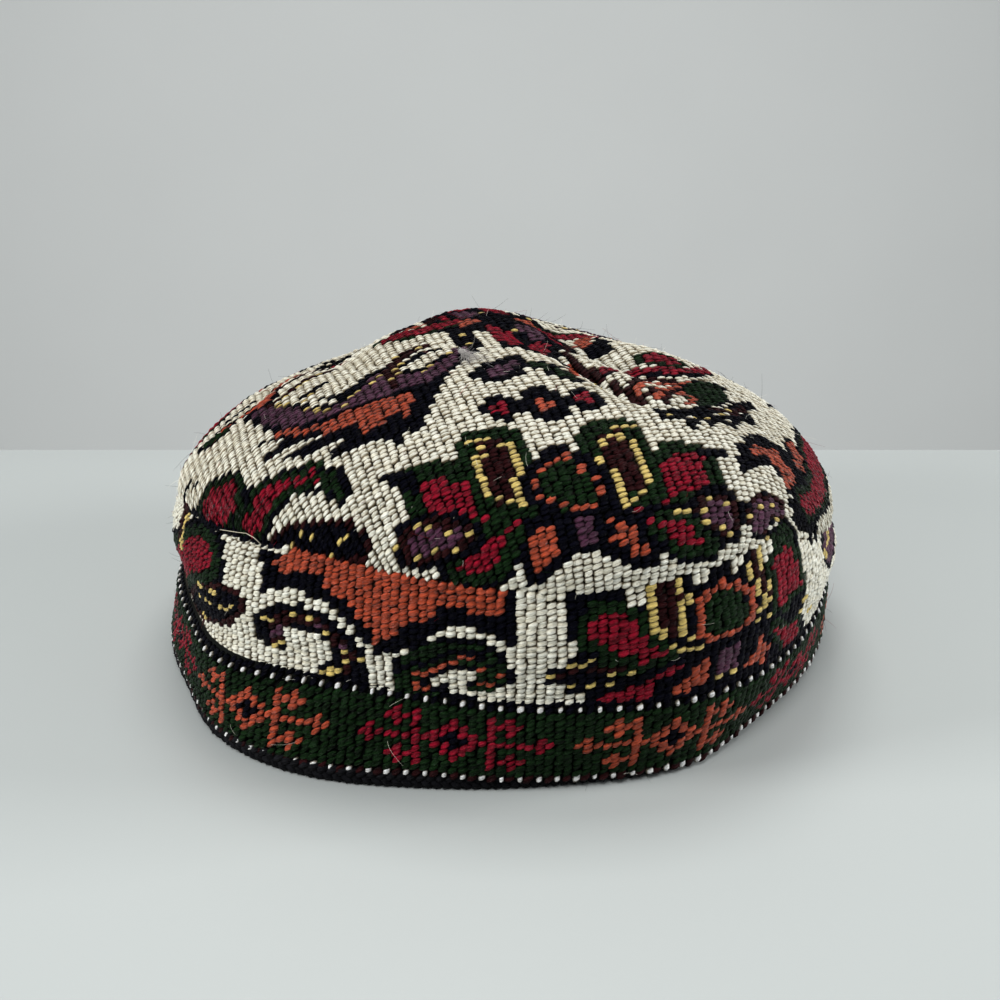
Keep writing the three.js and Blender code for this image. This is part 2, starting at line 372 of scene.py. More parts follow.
def cloth_shell(name, node, grid, thickness, finish, slot, pole=False):
    """The cloth under the stitches: the sampled outside drawn in a little, with a wall of its own."""
    around = np.roll(grid, -1, 1) - np.roll(grid, 1, 1)
    up = np.gradient(grid, axis=0)
    normal = unit(np.cross(around, up))
    if pole:
        normal[-1] = unit(normal[-2].mean(0))
    outer = grid - normal * cloth_inset
    inner = grid - normal * (thickness - lining_gap)
    levels = grid.shape[0]
    kept = levels - 1 if pole else levels
    points = np.concatenate((outer[:kept].reshape(-1, 3), inner[:kept].reshape(-1, 3)))
    inside = kept * azimuths
    triangles = []
    for level in range(kept - 1):
        here = level * azimuths
        for turn in range(azimuths):
            after = (turn + 1) % azimuths
            a, b, c, d = here + turn, here + after, here + azimuths + after, here + azimuths + turn
            triangles += [(a, b, c), (a, c, d)]
            triangles += [(inside + a, inside + c, inside + b), (inside + a, inside + d, inside + c)]
    top = (kept - 1) * azimuths
    for turn in range(azimuths):
        after = (turn + 1) % azimuths
        triangles += [(turn, inside + turn, inside + after), (turn, inside + after, after)]
        if not pole:
            a, b = top + turn, top + after
            triangles += [(a, b, inside + b), (a, inside + b, inside + a)]
    flag = np.zeros(len(points))
    flag[inside:] = 1
    if pole:
        points = np.concatenate((points, outer[-1].mean(0)[None], inner[-1].mean(0)[None]))
        flag = np.append(flag, (0, 1))
        outer_pole, inner_pole = len(points) - 2, len(points) - 1
        for turn in range(azimuths):
            after = (turn + 1) % azimuths
            triangles += [(top + turn, top + after, outer_pole)]
            triangles += [(inside + top + turn, inner_pole, inside + top + after)]
    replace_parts(make_piece(name, points, triangles, finish, slot, {"inside": flag}), node)


def canvas_finish(name, gap):
    """Plain woven cloth: in shade between the stitches outside, and bare inside."""
    finish = Finish(name, {"Roughness": 0.9, "Specular IOR Level": 0.1})
    inside = finish.node("Attribute", {"attribute_name": "inside"}, {}, "Fac")
    place = finish.node("TexCoord", {}, {}, "Object")
    weave = finish.node("TexNoise", {}, {"Vector": place, "Scale": 900.0, "Detail": 1.0}, "Fac")
    cloud = finish.node("TexNoise", {}, {"Vector": place, "Scale": 40.0, "Detail": 3.0}, "Fac")
    # Outside, the cloth is painted in shade: the gap colour, mottled by the weave, where it shows only deep
    # between the stitches.
    outside_colour = finish.blend(weave, tuple(c * 0.6 for c in gap), gap)
    inside_colour = finish.blend(cloud * 0.5 + weave * 0.5, (0.30, 0.25, 0.18), (0.46, 0.40, 0.30))
    finish.colour(finish.blend(inside, outside_colour, inside_colour))
    finish.bump(weave, 0.6, 0.0004)
    return finish


# One stitch of thick soft thread, lying on the cloth: a bean along X, flat underneath.
bpy.ops.object.select_all(action="DESELECT")
bpy.ops.mesh.primitive_uv_sphere_add(segments=6, ring_count=4, radius=1, rotation=(0, math.pi / 2, 0))
stitch_model = bpy.context.active_object
bpy.ops.object.transform_apply(location=False, rotation=True, scale=False)


def pick(chosen):
    """Selects the stitch's vertices by their place, in edit mode."""
    bpy.ops.object.mode_set(mode="OBJECT")
    for polygon in stitch_model.data.polygons:
        polygon.select = False
    for edge in stitch_model.data.edges:
        edge.select = False
    for vertex in stitch_model.data.vertices:
        vertex.select = chosen(vertex.co)
    bpy.ops.object.mode_set(mode="EDIT")


bpy.ops.object.mode_set(mode="EDIT")
bpy.ops.mesh.select_mode(type="VERT")
pick(lambda place: 0.5 < abs(place.x) < 0.9)      # its shoulders, made fuller
bpy.ops.transform.resize(value=(0.96, 1.25, 1.25), center_override=(0, 0, 0))
pick(lambda place: place.z < -0.1)                # its underside, made flat
bpy.ops.transform.resize(value=(1, 1, 0.45), center_override=(0, 0, 0))
bpy.ops.mesh.select_all(action="SELECT")
bpy.ops.mesh.quads_convert_to_tris()
bpy.ops.mesh.normals_make_consistent(inside=False)
bpy.ops.object.mode_set(mode="OBJECT")
stitch_places = np.array([vertex.co[:] for vertex in stitch_model.data.vertices])
# Blender gives the triangles in another order on each run, so they are sorted.
stitch_faces = np.array(sorted(tuple(polygon.vertices) for polygon in stitch_model.data.polygons))
# Painted shade on each stitch: lit along its crest, and painted darker down its sides, at its ends and along
# its lower edge, where it dips beside and under its neighbours.
stitch_painted_shade = (
    np.clip(stitch_places[:, 2] * 0.85 + 0.15, 0, 1) * (1 - 0.35 * np.abs(stitch_places[:, 0]) ** 3)
    * (0.93 + 0.07 * stitch_places[:, 1])
)
bpy.data.objects.remove(stitch_model)

threads = {
    # thread: finish, record slot
    "ivory": (thread_finish("ivory silk", (0.90, 0.84, 0.65), 0.76, 0.34, 0.08, 0.5), "ivory_thread"),
    "white": (thread_finish("white cotton", (0.86, 0.86, 0.82), 0.75, 0.6, 0.1, 0.3), "white_thread"),
    "crimson": (thread_finish("crimson silk", (0.27, 0.004, 0.021), 0.28, 0.34, 0, 0.13), "crimson_thread"),
    "orange": (thread_finish("orange silk", (0.43, 0.068, 0.024), 0.34, 0.36, 0.03, 0.3), "orange_thread"),
    "plum": (thread_finish("plum silk", (0.09, 0.027, 0.060), 0.35, 0.36, 0.03, 0.2), "plum_thread"),
    "maroon": (thread_finish("dark maroon silk", (0.03, 0.005, 0.006), 0.3, 0.34, 0, 0.06), "maroon_thread"),
    "yellow": (thread_finish("yellow silk", (0.68, 0.52, 0.16), 0.55, 0.4, 0.1, 0.4), "yellow_thread"),
    "green": (thread_finish("dark green silk", (0.007, 0.025, 0.006), 0.15, 0.32, 0, 0.07), "green_thread"),
    "navy": (thread_finish("blue black silk", (0.003, 0.003, 0.008), 0.2, 0.34, 0, 0.035), "navy_thread"),
}
pale_threads = ("ivory", "white", "yellow")     # laid flatter and apart, and the dark ones fuller
stitch_limit = 5200                             # stitches in one piece
stitch_spread = {"length": 0.08, "rise": 0.28, "width": 0.10, "height": 0.16, "shift": 0.055, "tint": 0.25}
seed = np.random.default_rng(41)


def embroider(part, places, across, along, normals, thread, lie, height):
    """Lays one stitch at each place and makes a piece of each thread's stitches. across and along are
    the cloth's own directions there, in metres for a stitch column and a stitch row. lie holds the
    half length, half rise and half width of a stitch, as shares of the column and the row."""
    total = len(places)
    half_length, half_rise, half_width = lie
    lengths = half_length * seed.normal(1, stitch_spread["length"], total)
    rises = half_rise * seed.normal(1, stitch_spread["rise"], total)
    widths = half_width * seed.normal(1, stitch_spread["width"], total)
    heights = height * seed.normal(1, stitch_spread["height"], total)
    shift = seed.normal(0, stitch_spread["shift"], (total, 2))
    tint = np.clip(seed.normal(0.5, stitch_spread["tint"], total), 0, 1)
    small = thread == "white"
    lengths[small] *= seed.uniform(0.45, 0.85, small.sum())
    widths[small] *= seed.uniform(0.7, 1.1, small.sum())
    rises[small] *= 0.6
    full = ~np.isin(thread, pale_threads)
    lengths[full] *= 1.08
    widths[full] *= 1.16
    rises[full] *= 1.45
    shift[full] *= 1.6
    taper = np.where(full, 0.42, 0.22)[:, None]     # how much narrower a stitch is at its ends
    x, y, z = stitch_places.T
    arch = z - 0.3 * x * x - 0.25 * y               # its ends dip, and so does its upper side
    sideways = lengths[:, None] * x + shift[:, :1]
    upward = rises[:, None] * x + widths[:, None] * y * (1 - taper * np.abs(x)) + shift[:, 1:]
    points = (
        places[:, None] + across[:, None] * sideways[..., None] + along[:, None] * upward[..., None]
        + normals[:, None] * (heights[:, None] * arch)[..., None]
    )
    grain = np.stack((np.broadcast_to(x, (total, len(x))), np.broadcast_to(y, (total, len(x)))), -1)
    grain = grain + seed.uniform(0, 40, (total, 1, 2))
    for name, (finish, slot) in threads.items():
        chosen = np.flatnonzero(thread == name)
        parts = max(1, math.ceil(len(chosen) / stitch_limit))
        for number, group in enumerate(np.array_split(chosen, parts)):
            if len(group) == 0:
                continue
            faces = stitch_faces[None] + (np.arange(len(group)) * len(stitch_places))[:, None, None]
            label = f"{part}_{name}_stitches" + (f"_{number + 1}" if parts > 1 else "")
            tones = np.repeat(tint[group], len(stitch_places))
            make_piece(
                label, points[group].reshape(-1, 3), faces.reshape(-1, 3), finish, slot,
                {"tint": tones, "crest_shade": np.tile(stitch_painted_shade, len(group))}, grain[group].reshape(-1, 2),
            )


def lay_on(surface, u, v, step):
    """Places, directions and normals at cloth coordinates u and v, for a small step of both."""
    here = surface(u, v)
    across = (surface(u + step, v) - surface(u - step, v)) / (2 * step)
    along = (surface(u, v + step) - surface(u, v - step)) / (2 * step)
    return here, across, along, unit(np.cross(across, along))


band_shares = np.linspace(0.003, 0.997, band_levels)      # just inside the band's edges
band_aims = [(band_foot + (band_head - band_foot) * share, 0) for share in band_shares]
band_grid, _ = even_levels(scan("band", band_aims), band_levels)
band_grid = eased(band_grid)
# The band's canvas shows only between the stitches. Its near-black colour is painted shade.
band_shade_cloth = canvas_finish("band cloth in painted shade", (0.006, 0.007, 0.006))
cloth_shell("band_cloth", "band", band_grid, band_cloth, band_shade_cloth, "green_thread")

band_columns = 276
band_rows = 13               # the row above these, the 14th, is the fold under the wall
edge_row, fold_row = 6, 7    # counted from the middle row, as the motif's rows are
band_lie = (0.62, 0.28, 0.68)
motif_turns = (-66, -37.5, -5.3, 24.3, 53, 83, 113, 143, 173, 203, 233, 263)     # middles, in degrees
motif_middles = [round((turn + 180) % 360 * band_columns / 360 - 0.5) for turn in motif_turns]
motif_half = {
    # column of the hooked diamond from its left tip to its middle: rows that carry the bright thread
    0: (0,), 1: (-1, 0, 1), 2: (0,), 3: (0, 3, -3), 4: (0, 2, 3, 4, -2, -3, -4), 5: (0, 3, -3),
    6: (-4, -3, -2, -1, 0, 1, 2, 3, 4), 7: (0,), 8: (-1, 0, 1), 9: (1, 2, -1, -2), 10: (2, 3, -2, -3),
}
motif_black = {9: (0,), 10: (-1, 0, 1)}
# The rows of the band run a little up and down round the cap: azimuth, lowest and highest row in mm.
row_heights = np.array([
    (-180, 2.6, 21.2), (-90, 2.7, 21.0), (-60, 3.0, 20.4), (-50, 2.8, 19.9), (-40, 2.4, 20.6),
    (-30, 2.5, 21.8), (-20, 3.3, 22.4), (-10, 3.7, 22.0), (0, 2.6, 21.3), (10, 2.0, 21.3), (20, 1.7, 21.1),
    (30, 1.4, 20.8), (40, 2.3, 20.2), (50, 2.3, 20.2), (60, 2.4, 20.6), (90, 2.6, 21.2), (180, 2.6, 21.2),
])


def band_thread(column, row):
    half_round = band_columns // 2
    steps = [abs((column - middle + half_round) % band_columns - half_round) for middle in motif_middles]
    number = steps.index(min(steps))
    half = max(motif_half) - steps[number]
    # The fold row under the wall is laid in blue black: partly dark thread, and partly painted shade beneath
    # the wall's overhanging foot.
    if row == fold_row:
        return "navy"
    if abs(row) == edge_row:
        return "white" if column % 2 == 0 else ("maroon" if row < 0 else "navy")
    if row in motif_half.get(half, ()):
        return ("crimson", "orange")[number % 2]
    if row in motif_black.get(half, ()):
        return "navy"
    return "green"


def band_surface(u, v):
    """u counts stitch columns from the back and v rows from the lowest, which lies over the braid."""
    azimuth = u * 360 / band_columns - 180
    signed = (azimuth + 180) % 360 - 180
    low = np.interp(signed, row_heights[:, 0], row_heights[:, 1])
    high = np.interp(signed, row_heights[:, 0], row_heights[:, 2])
    height = (low + (high - low) * v / band_rows) * MM
    place = look_up(band_grid, (height - band_foot) / (band_head - band_foot), azimuth % 360)
    place[..., 2] = np.minimum(place[..., 2], height)
    return place


columns, rows = np.meshgrid(np.arange(band_columns), np.arange(band_rows + 1))
columns, rows = columns.ravel(), rows.ravel()
band_threads = np.array([band_thread(column, row - edge_row) for column, row in zip(columns, rows)])
band_places, across, along, band_normals = lay_on(band_surface, columns + 0.5, rows + 0.5, step=0.45)
sunk = np.where(rows == band_rows, 0.5, 0.1)[:, None] * MM
upper_edge = rows == 2 * edge_row
across[upper_edge] *= 0.78   # the upper edge's stitches are smaller
along[upper_edge] *= 0.9
embroider(
    "band", band_places - band_normals * sunk, across, along, band_normals, band_threads,
    band_lie, 0.7 * MM,
)

# Side wall.
# An upright strip of the same cloth between the band and the crown, stitched in ivory silk with
# flowers, leaves and curls in bright thread. Its top edge cuts the motifs off at the crown's seam.
wall_foot = 23.0 * MM
wall_cloth = 2.6 * MM
wall_levels = 18
picture_lie, picture_height = (0.63, 0.24, 0.72), 0.75 * MM     # stitches of the wall and of the crown
wall_aims = [(wall_foot + rise * MM, 0) for rise in np.arange(0.05, 32, 0.4)]     # the highest miss it
wall_grid, wall_heights = even_levels(scan("side_wall", wall_aims), wall_levels)
wall_grid = eased(wall_grid)
shade_cloth = canvas_finish("canvas in the shade of the stitches", (0.030, 0.026, 0.019))
cloth_shell("side_wall_cloth", "side_wall", wall_grid, wall_cloth, shade_cloth, "ivory_thread")


class Chart:
    """Which thread each stitch has. i and j are the stitches' places on the drawn chart."""

    rim = 0.1                # a shape also takes the stitches this little outside its line
    row_weight = 1.15        # from a dot, a row counts for this many columns
    dot_reach = 1.6          # a dot is left out where no stitch is this near
    tie = 0.001

    def __init__(self, i, j, ground):
        self.i, self.j = i, j
        self.thread = np.full(len(i), ground, dtype="<U8")

    def distance(self, corners, closed):
        least = np.full(len(self.i), 1e9)
        inside = np.zeros(len(self.i), dtype=bool)
        ends = corners[1:] + (corners[:1] if closed else [])
        for (ai, aj), (bi, bj) in zip(corners, ends):
            length = max((bi - ai) ** 2 + (bj - aj) ** 2, 1e-9)
            share = np.clip(((self.i - ai) * (bi - ai) + (self.j - aj) * (bj - aj)) / length, 0, 1)
            gap = np.hypot(self.i - ai - share * (bi - ai), self.j - aj - share * (bj - aj))
            least = np.minimum(least, gap)
            if closed:
                crosses = (aj > self.j) != (bj > self.j)
                slope = (bi - ai) / (bj - aj) if bj != aj else 0
                inside ^= crosses & (self.i < ai + (self.j - aj) * slope)
        return np.where(inside, -least, least) if closed else least

    def patch(self, thread, corners, *edges):
        """Fills a shape, after its edges, each a thread and its width from the shape outwards."""
        gap = self.distance(corners, True)
        for edge_thread, width in edges:
            self.thread[gap < width] = edge_thread
        self.thread[gap < self.rim] = thread

    def line(self, thread, corners, width):
        self.thread[self.distance(corners, False) < width / 2] = thread

    def dots(self, thread, places):
        """Single stitches, the nearest to each place."""
        for di, dj in places:
            gap = np.hypot(self.i - di, (self.j - dj) * self.row_weight)
            if gap.min() < self.dot_reach:
                self.thread[gap < gap.min() + self.tie] = thread


wall_pitch = 1.32            # mm between stitch rows
wall_chart_row = 1.58        # mm up the cloth for one step of the chart
wall_over = 0.5              # mm that the top row may pass the wall's edge
wall_columns = 276
chart_columns = 138          # the chart goes twice round
chart_start = 66
low_turns = (296, 323)       # degrees between which the wall reaches one row further down


def wall_surface(u, v):
    """u counts stitch columns from the front and v is millimetres up the cloth."""
    azimuth = u * 360 / wall_columns
    turn = (azimuth / 360 * azimuths) % azimuths
    left = np.floor(turn).astype(int) % azimuths
    share = turn - np.floor(turn)
    height = (wall_heights[left] * (1 - share) + wall_heights[(left + 1) % azimuths] * share) / MM
    place = look_up(wall_grid, v / height, azimuth)
    place[..., 2] += np.minimum(v, 0) * MM
    return place


wall_u, wall_v = [], []
for column in range(wall_columns):
    azimuth = (column + 0.5) * 360 / wall_columns
    height = wall_heights[int(round(azimuth / 360 * azimuths)) % azimuths] / MM
    lowest = -2 if low_turns[0] < azimuth < low_turns[1] else -1
    for row in range(lowest, int((height + wall_over) / wall_pitch)):
        wall_u.append(column + 0.5)
        wall_v.append((row + 0.5) * wall_pitch)
wall_u, wall_v = np.array(wall_u), np.array(wall_v)
wall = Chart((wall_u + chart_start) % chart_columns - chart_start, wall_v / wall_chart_row, "ivory")

# Long crimson leaf, blue leaf and yellow-spotted petal at the left.
wall.patch("crimson", [(-36, 11), (-36.5, 13.4), (-38, 14.4), (-40, 14), (-42.5, 13), (-45, 11), (-50, 8),
    (-56, 5), (-62, 3), (-66, 0.5), (-62, 0), (-55, 0), (-50, 3), (-45, 6.5), (-40, 9), (-37, 10.4)],
    ("navy", 3.0), ("green", 1.9))
wall.patch("maroon", [(-48.8, 10), (-49.5, 16.5), (-46.5, 16.5), (-46.4, 11)])
wall.line("yellow", [(-45.3, 16.5), (-46.3, 14), (-47, 10)], 1.3)
wall.patch("navy", [(-48, 0.6), (-44, 3.2), (-40, 6), (-36, 7.8), (-32, 9.4), (-29.6, 8.4), (-32, 5),
    (-36, 3), (-40, 1.5), (-44, 0)], ("maroon", 0.9))
wall.dots("yellow", [(-39, 7), (-35, 8.2), (-33, 6.4), (-31.6, 6.9), (-40, 1.6), (-37, 5.8), (-41, 5)])

# Orange leaf in blue black, which reaches down from the seam.
wall.patch("navy", [(-27.6, 16.4), (-26.8, 11), (-25.5, 11.3), (-23, 12.4), (-18.5, 12), (-17, 10.3),
    (-15, 8), (-13.5, 6.5), (-12.5, 4.9), (-10.5, 5.5), (-8.5, 7.5), (-6, 9), (-5, 10.6), (-0.5, 10.5),
    (1, 9), (2.3, 8.5), (2.4, 16.5)])
wall.patch("orange", [(-25.6, 16), (-24, 17.2), (-16, 17.5), (-5, 16.8), (0.5, 15.2), (0.6, 13),
    (-0.2, 12), (-0.6, 13), (-3, 13), (-5.5, 13.5), (-6, 12), (-8, 11), (-10, 9.5), (-11, 7.8),
    (-12.5, 7), (-13, 9), (-14.5, 10.5), (-16, 12), (-18.5, 13.7), (-19, 14.8), (-22, 14.8),
    (-24.5, 14.5), (-25.8, 15.2)])
wall.line("ivory", [(-26.5, 10), (-25, 11), (-23.5, 11.8), (-21, 11.5), (-19, 11.2), (-17.5, 10),
    (-16, 8.8), (-15, 7.3), (-13.7, 6.3), (-13.2, 4)], 1.3)
wall.line("ivory", [(-12.3, 4.4), (-10.5, 5.2), (-9.5, 6), (-8, 7), (-6.5, 8), (-5, 9.5), (-1, 9.5),
    (0.3, 8.5), (1.2, 7), (2, 5.5), (2.5, 4.5)], 1.5)

# Plum curl with yellow spots round an ivory curl.
wall.patch("navy", [(-27.6, 7), (-26.4, 8.6), (-24.4, 9.6), (-22, 10.4), (-19, 10.1), (-17, 8.5),
    (-15.2, 6.8), (-14.4, 5), (-14.4, -1), (-20.4, -1), (-19.8, 1), (-18.3, 2.6), (-18, 4), (-18, 5.6),
    (-20, 7), (-22, 7.2), (-23.6, 6.6), (-23.8, 4.4), (-24.4, 2.6), (-26.6, 2.2), (-27.4, 3.5),
    (-28.2, 6.2)])
wall.line("maroon", [(-25.4, 3.4), (-25, 6.4), (-23.6, 8), (-21.6, 8.6), (-19.4, 8.2), (-17.4, 6.6),
    (-16, 4.4), (-16.8, 1.4)], 1.7)
wall.line("plum", [(-25.2, 4.2), (-24.8, 6.6)], 1.0)
wall.line("plum", [(-19.8, 8.3), (-18.8, 7.6)], 0.9)
wall.line("plum", [(-16.6, 5.7), (-15.8, 4.1)], 0.9)
wall.patch("navy", [(-14.5, 5), (-14.5, 1.2), (-14.2, 0.9), (-10.9, 0.9), (-10.9, 5), (-12.5, 4.7)])
wall.patch("ivory", [(-13.9, 5.8), (-13.7, 0.9), (-11.2, 0.9), (-11.2, 4.6), (-12.2, 4.8)])
wall.dots("yellow", [(-26, 7), (-22.5, 8.6), (-20.2, 8.5), (-18.1, 7), (-16.1, 5), (-16.4, 2.6),
    (-18, 1.6), (-19, 0.7), (-25.8, 3.1), (-24.3, 4.1), (-14.8, 3.4)])

# Green curl with orange spots round an ivory curl.
wall.patch("green", [(-10.6, -0.5), (-10.3, 4.6), (-9, 5.8), (-7, 7.8), (-5, 8.5), (-1.5, 8.2), (0, 6.8),
    (1.2, 4.6), (1.3, 3.1), (0.3, 2.2), (-0.4, 1), (-3, -0.5)], ("navy", 0.6))
wall.line("navy", [(-9.2, 3.9), (-6.8, 5.3), (-4.9, 6.9), (-1.7, 6.9), (0, 4.8)], 0.9)
wall.patch("ivory", [(-7.3, 0.8), (-7, 2.2), (-5.4, 3.4), (-4.2, 4.3), (-2.6, 4.2), (-2.3, 3),
    (-3.3, 2.2), (-3.2, 0), (-5.2, 0), (-5.4, 1.4)], ("navy", 0.7))
wall.patch("ivory", [(-2.7, 0), (-2.6, 1), (-0.8, 0.6), (0.6, 2), (2, 2.2), (2, 0)])
wall.dots("orange", [(-8.8, 2.7), (-8.7, 1.5), (-8, 0.5), (-7.5, 3.3), (-6.5, 3.8), (-5.5, 4.5),
    (-4.5, 5.8), (-3.5, 5.9), (-2.3, 5.9), (-1.5, 4.8), (0.3, 3.5), (-1.4, 2.2), (-0.5, 2)])

# Flower at the right: dark field, crimson petals, yellow-edged petals and a green heart.
wall.patch("navy", [(7.4, 5.6), (5.4, 4.6), (4.9, 3), (6.6, 2.4), (7.2, 1.3), (8.6, 0.7), (9, -0.5),
    (41, -0.5), (39, 3), (38.4, 8), (38, 13), (37, 17), (15, 17), (14.6, 13), (13, 15.6), (7.4, 14.6),
    (7.6, 9.2), (8.3, 8.6)])
wall.patch("crimson", [(9.2, 9), (9.3, 10.5), (10, 12.4), (12.9, 12.8), (13, 11.7), (14, 11.3), (14, 9.5),
    (14.7, 9.4), (14.6, 8), (16, 7.3), (16.5, 6.2), (14.2, 5.4), (14, 6.5), (12, 6.6), (11, 8), (10, 9)],
    ("green", 1.5))
wall.patch("ivory", [(13, 13.4), (13.4, 16), (15, 16), (14.4, 13.4)])
wall.patch("maroon", [(16, 8.6), (16, 17), (19, 17), (18.6, 8.6)])
wall.line("yellow", [(15.8, 17), (16, 9.4), (16.8, 8.7)], 1.0)
wall.line("yellow", [(18.7, 17), (19.1, 12.9), (18, 12), (18.3, 10), (18.6, 8.5)], 1.0)
wall.dots("yellow", [(17.9, 7.5), (19.4, 7.6), (19, 6.3), (20.8, 6.6)])
wall.patch("green", [(21.6, 7.9), (20.9, 9.4), (20.9, 11.2), (21.8, 12.6), (23.6, 13.5), (25.4, 12.6),
    (26.4, 11.2), (26.7, 9.2), (26, 7.9)])
wall.line("orange", [(23.6, 14.2), (21.6, 13.4), (20.4, 12), (20.1, 10), (20.7, 8.2), (22.2, 7.1),
    (25.2, 6.9), (27, 8.2), (27.5, 10), (27, 12), (25.6, 13.4), (23.6, 14.2)], 1.15)
wall.patch("ivory", [(20.3, 15), (20, 17), (22.2, 17), (21.6, 15)])
wall.patch("ivory", [(24.6, 15.6), (24.4, 17), (26.6, 17), (26.2, 15.2)])
wall.patch("maroon", [(28, 17), (28.6, 13), (29.6, 10), (30.8, 10), (30.2, 13), (29.4, 17)])
wall.line("yellow", [(26.8, 17), (27.6, 14.4), (28.4, 12.2), (29.2, 10.2), (30.4, 9.3)], 0.9)
wall.line("yellow", [(29.4, 17), (30, 14), (30.8, 11.5), (31.1, 9.5)], 0.9)
wall.dots("yellow", [(29, 8.5), (28.2, 7.1), (30.2, 7)])
wall.patch("ivory", [(30.2, 15.2), (30, 17), (32, 17), (31, 14.8)])
wall.patch("crimson", [(31.4, 13.5), (32.3, 15), (35, 15.7), (36, 14), (36.9, 11.5), (36.8, 9.5),
    (37.5, 8.7), (34.5, 8.8), (34, 7), (32.5, 8), (32.2, 9.8), (32.5, 12)], ("green", 1.4))
wall.line("green", [(10.5, 5.3), (12, 4.4), (14, 3.4), (16, 4.6), (17, 5.6)], 0.9)
wall.line("maroon", [(6.2, 3.6), (8.4, 5.2), (12.8, 4.2)], 0.9)
wall.patch("crimson", [(10.5, -0.5), (10.8, 0.2), (13, 1), (15.2, 2.2), (16, 2.2), (15.6, -0.5)])
wall.dots("crimson", [(17.2, 3), (18, 3.8), (16.2, 2.8)])
wall.patch("orange", [(18.3, -0.5), (18.4, 1), (20.3, 2), (20.7, 3.8), (21.7, 3.7), (21.6, 1.5),
    (22, 0.6), (20, -0.5)])
wall.patch("plum", [(23.4, 0.9), (23.4, 5), (26, 5), (26, 0.9)])
wall.patch("orange", [(27, 0.3), (29, 1.5), (28.6, 2.8), (29.5, 3.7), (30.3, 2.2), (31.7, 1.3),
    (30.8, -0.5)])
wall.patch("crimson", [(31.5, 5), (33, 4), (35, 2.5), (38, 2.2), (39, -0.5), (35.5, -0.5), (34, 2),
    (32, 4)], ("green", 1.0))
wall.dots("yellow", [(8, 5.8), (9.8, 5.9), (5.7, 4), (7.5, 2.1), (9.4, 1.9), (11.7, 3.9), (11.5, 2.3),
    (13.6, 3.9), (23.6, 0.3), (25.8, 0.3), (38.4, 4), (42, 2), (39, 5.4)])

# Dark leaves with yellow spots at the far right.
wall.patch("plum", [(46.5, 9.4), (49.5, 10.5), (56, 9.4), (62, 8.2), (56.5, 6.6), (52, 6), (48.5, 6.4)],
    ("navy", 0.9))
wall.dots("yellow", [(48, 8), (50, 8.6), (52, 8.4), (47, 8.6)])
wall.line("navy", [(41.6, 14), (44.5, 12.6)], 1.4)
wall.line("navy", [(60, 7.4), (64, 6), (67, 4.4), (69.6, 2.6)], 1.6)
wall.patch("navy", [(60, 0), (61, 2.4), (65, 3.4), (69, 2.6), (66, 0.6), (63, -0.5)])
wall.patch("green", [(66.6, 8.6), (69.5, 6.6), (71.9, 3.4), (70.6, 0.6), (71, -0.5), (73, -0.5),
    (73, 8.6)], ("navy", 0.7))

wall_places, across, along, wall_normals = lay_on(wall_surface, wall_u, wall_v, step=0.4)
embroider(
    "side_wall", wall_places, across, along * wall_pitch, wall_normals, wall.thread,
    picture_lie, picture_height,
)

# Crown.
# One round of cloth, domed and softly dented, covered with ivory silk stitches in straight columns.
# A large flower stands at the front, with leaves and crescents round it. The back repeats the front.
crown_cloth = 2.6 * MM
crown_aim, crown_levels = 30 * MM, 64
crown_slopes = np.append(np.arange(-3, 89.6, 0.35), 90)     # slopes of the rays, in degrees
crown_scan = scan("crown_top", [(crown_aim, slope) for slope in crown_slopes])
crown_grid, _ = even_levels(crown_scan, crown_levels)
crown_grid = eased(crown_grid)
creases = [
    # plan points of the fold's line in mm, how deep it is pressed in (a ridge is below 0) and how wide
    ([(8, -10), (17, -25), (24, -37), (31, -44), (44, -43)], 2.6, 5.5),
    ([(17, -26), (24, -38), (31, -45), (39, -47)], 1.3, 1.8),
    ([(-64, -18), (-63, -4), (-52, 12), (-43, 28), (-38, 44)], 3.0, 7.5),
    ([(-36, -24), (-42, -4), (-49, 14)], 1.6, 6.0),
    ([(-26, -8), (-30, 8), (-33, 22)], -1.1, 7.0),
]
for line, depth, width in creases:
    line = np.array(line) * MM
    gap = np.full(crown_grid.shape[:2], 1.0)
    for start, end in zip(line[:-1], line[1:]):
        along = end - start
        offset = crown_grid[..., :2] - start
        share = np.clip((offset @ along) / (along @ along), 0, 1)
        gap = np.minimum(gap, np.linalg.norm(offset - share[..., None] * along, axis=-1))
    crown_grid[..., 2] -= depth * MM * np.exp(-((gap / (width * MM)) ** 2))
cloth_shell("crown_cloth", "crown_top", crown_grid, crown_cloth, shade_cloth, "ivory_thread", pole=True)

crown_round, crown_margin = 110.0, 0.4      # radius of the flat round of cloth and its bare rim, in mm
crown_turn = math.radians(17)
crown_column, crown_row = 2.3, 1.31
chart_unit = 2.0                            # mm for one step of the chart
# How far back the front pattern goes, before the same pattern turned by half a turn, in mm.
front_turns, front_ends = (-49, -48, -10, -8), (12, 4, 4, 0)


def crown_surface(u, v):
    """u and v are millimetres on the flat round of cloth, along the stitch rows and columns."""
    east = u * math.cos(crown_turn) - v * math.sin(crown_turn)
    north = u * math.sin(crown_turn) + v * math.cos(crown_turn)
    azimuth = np.degrees(np.arctan2(east, -north)) % 360
    return look_up(crown_grid, 1 - np.hypot(east, north) / crown_round, azimuth)


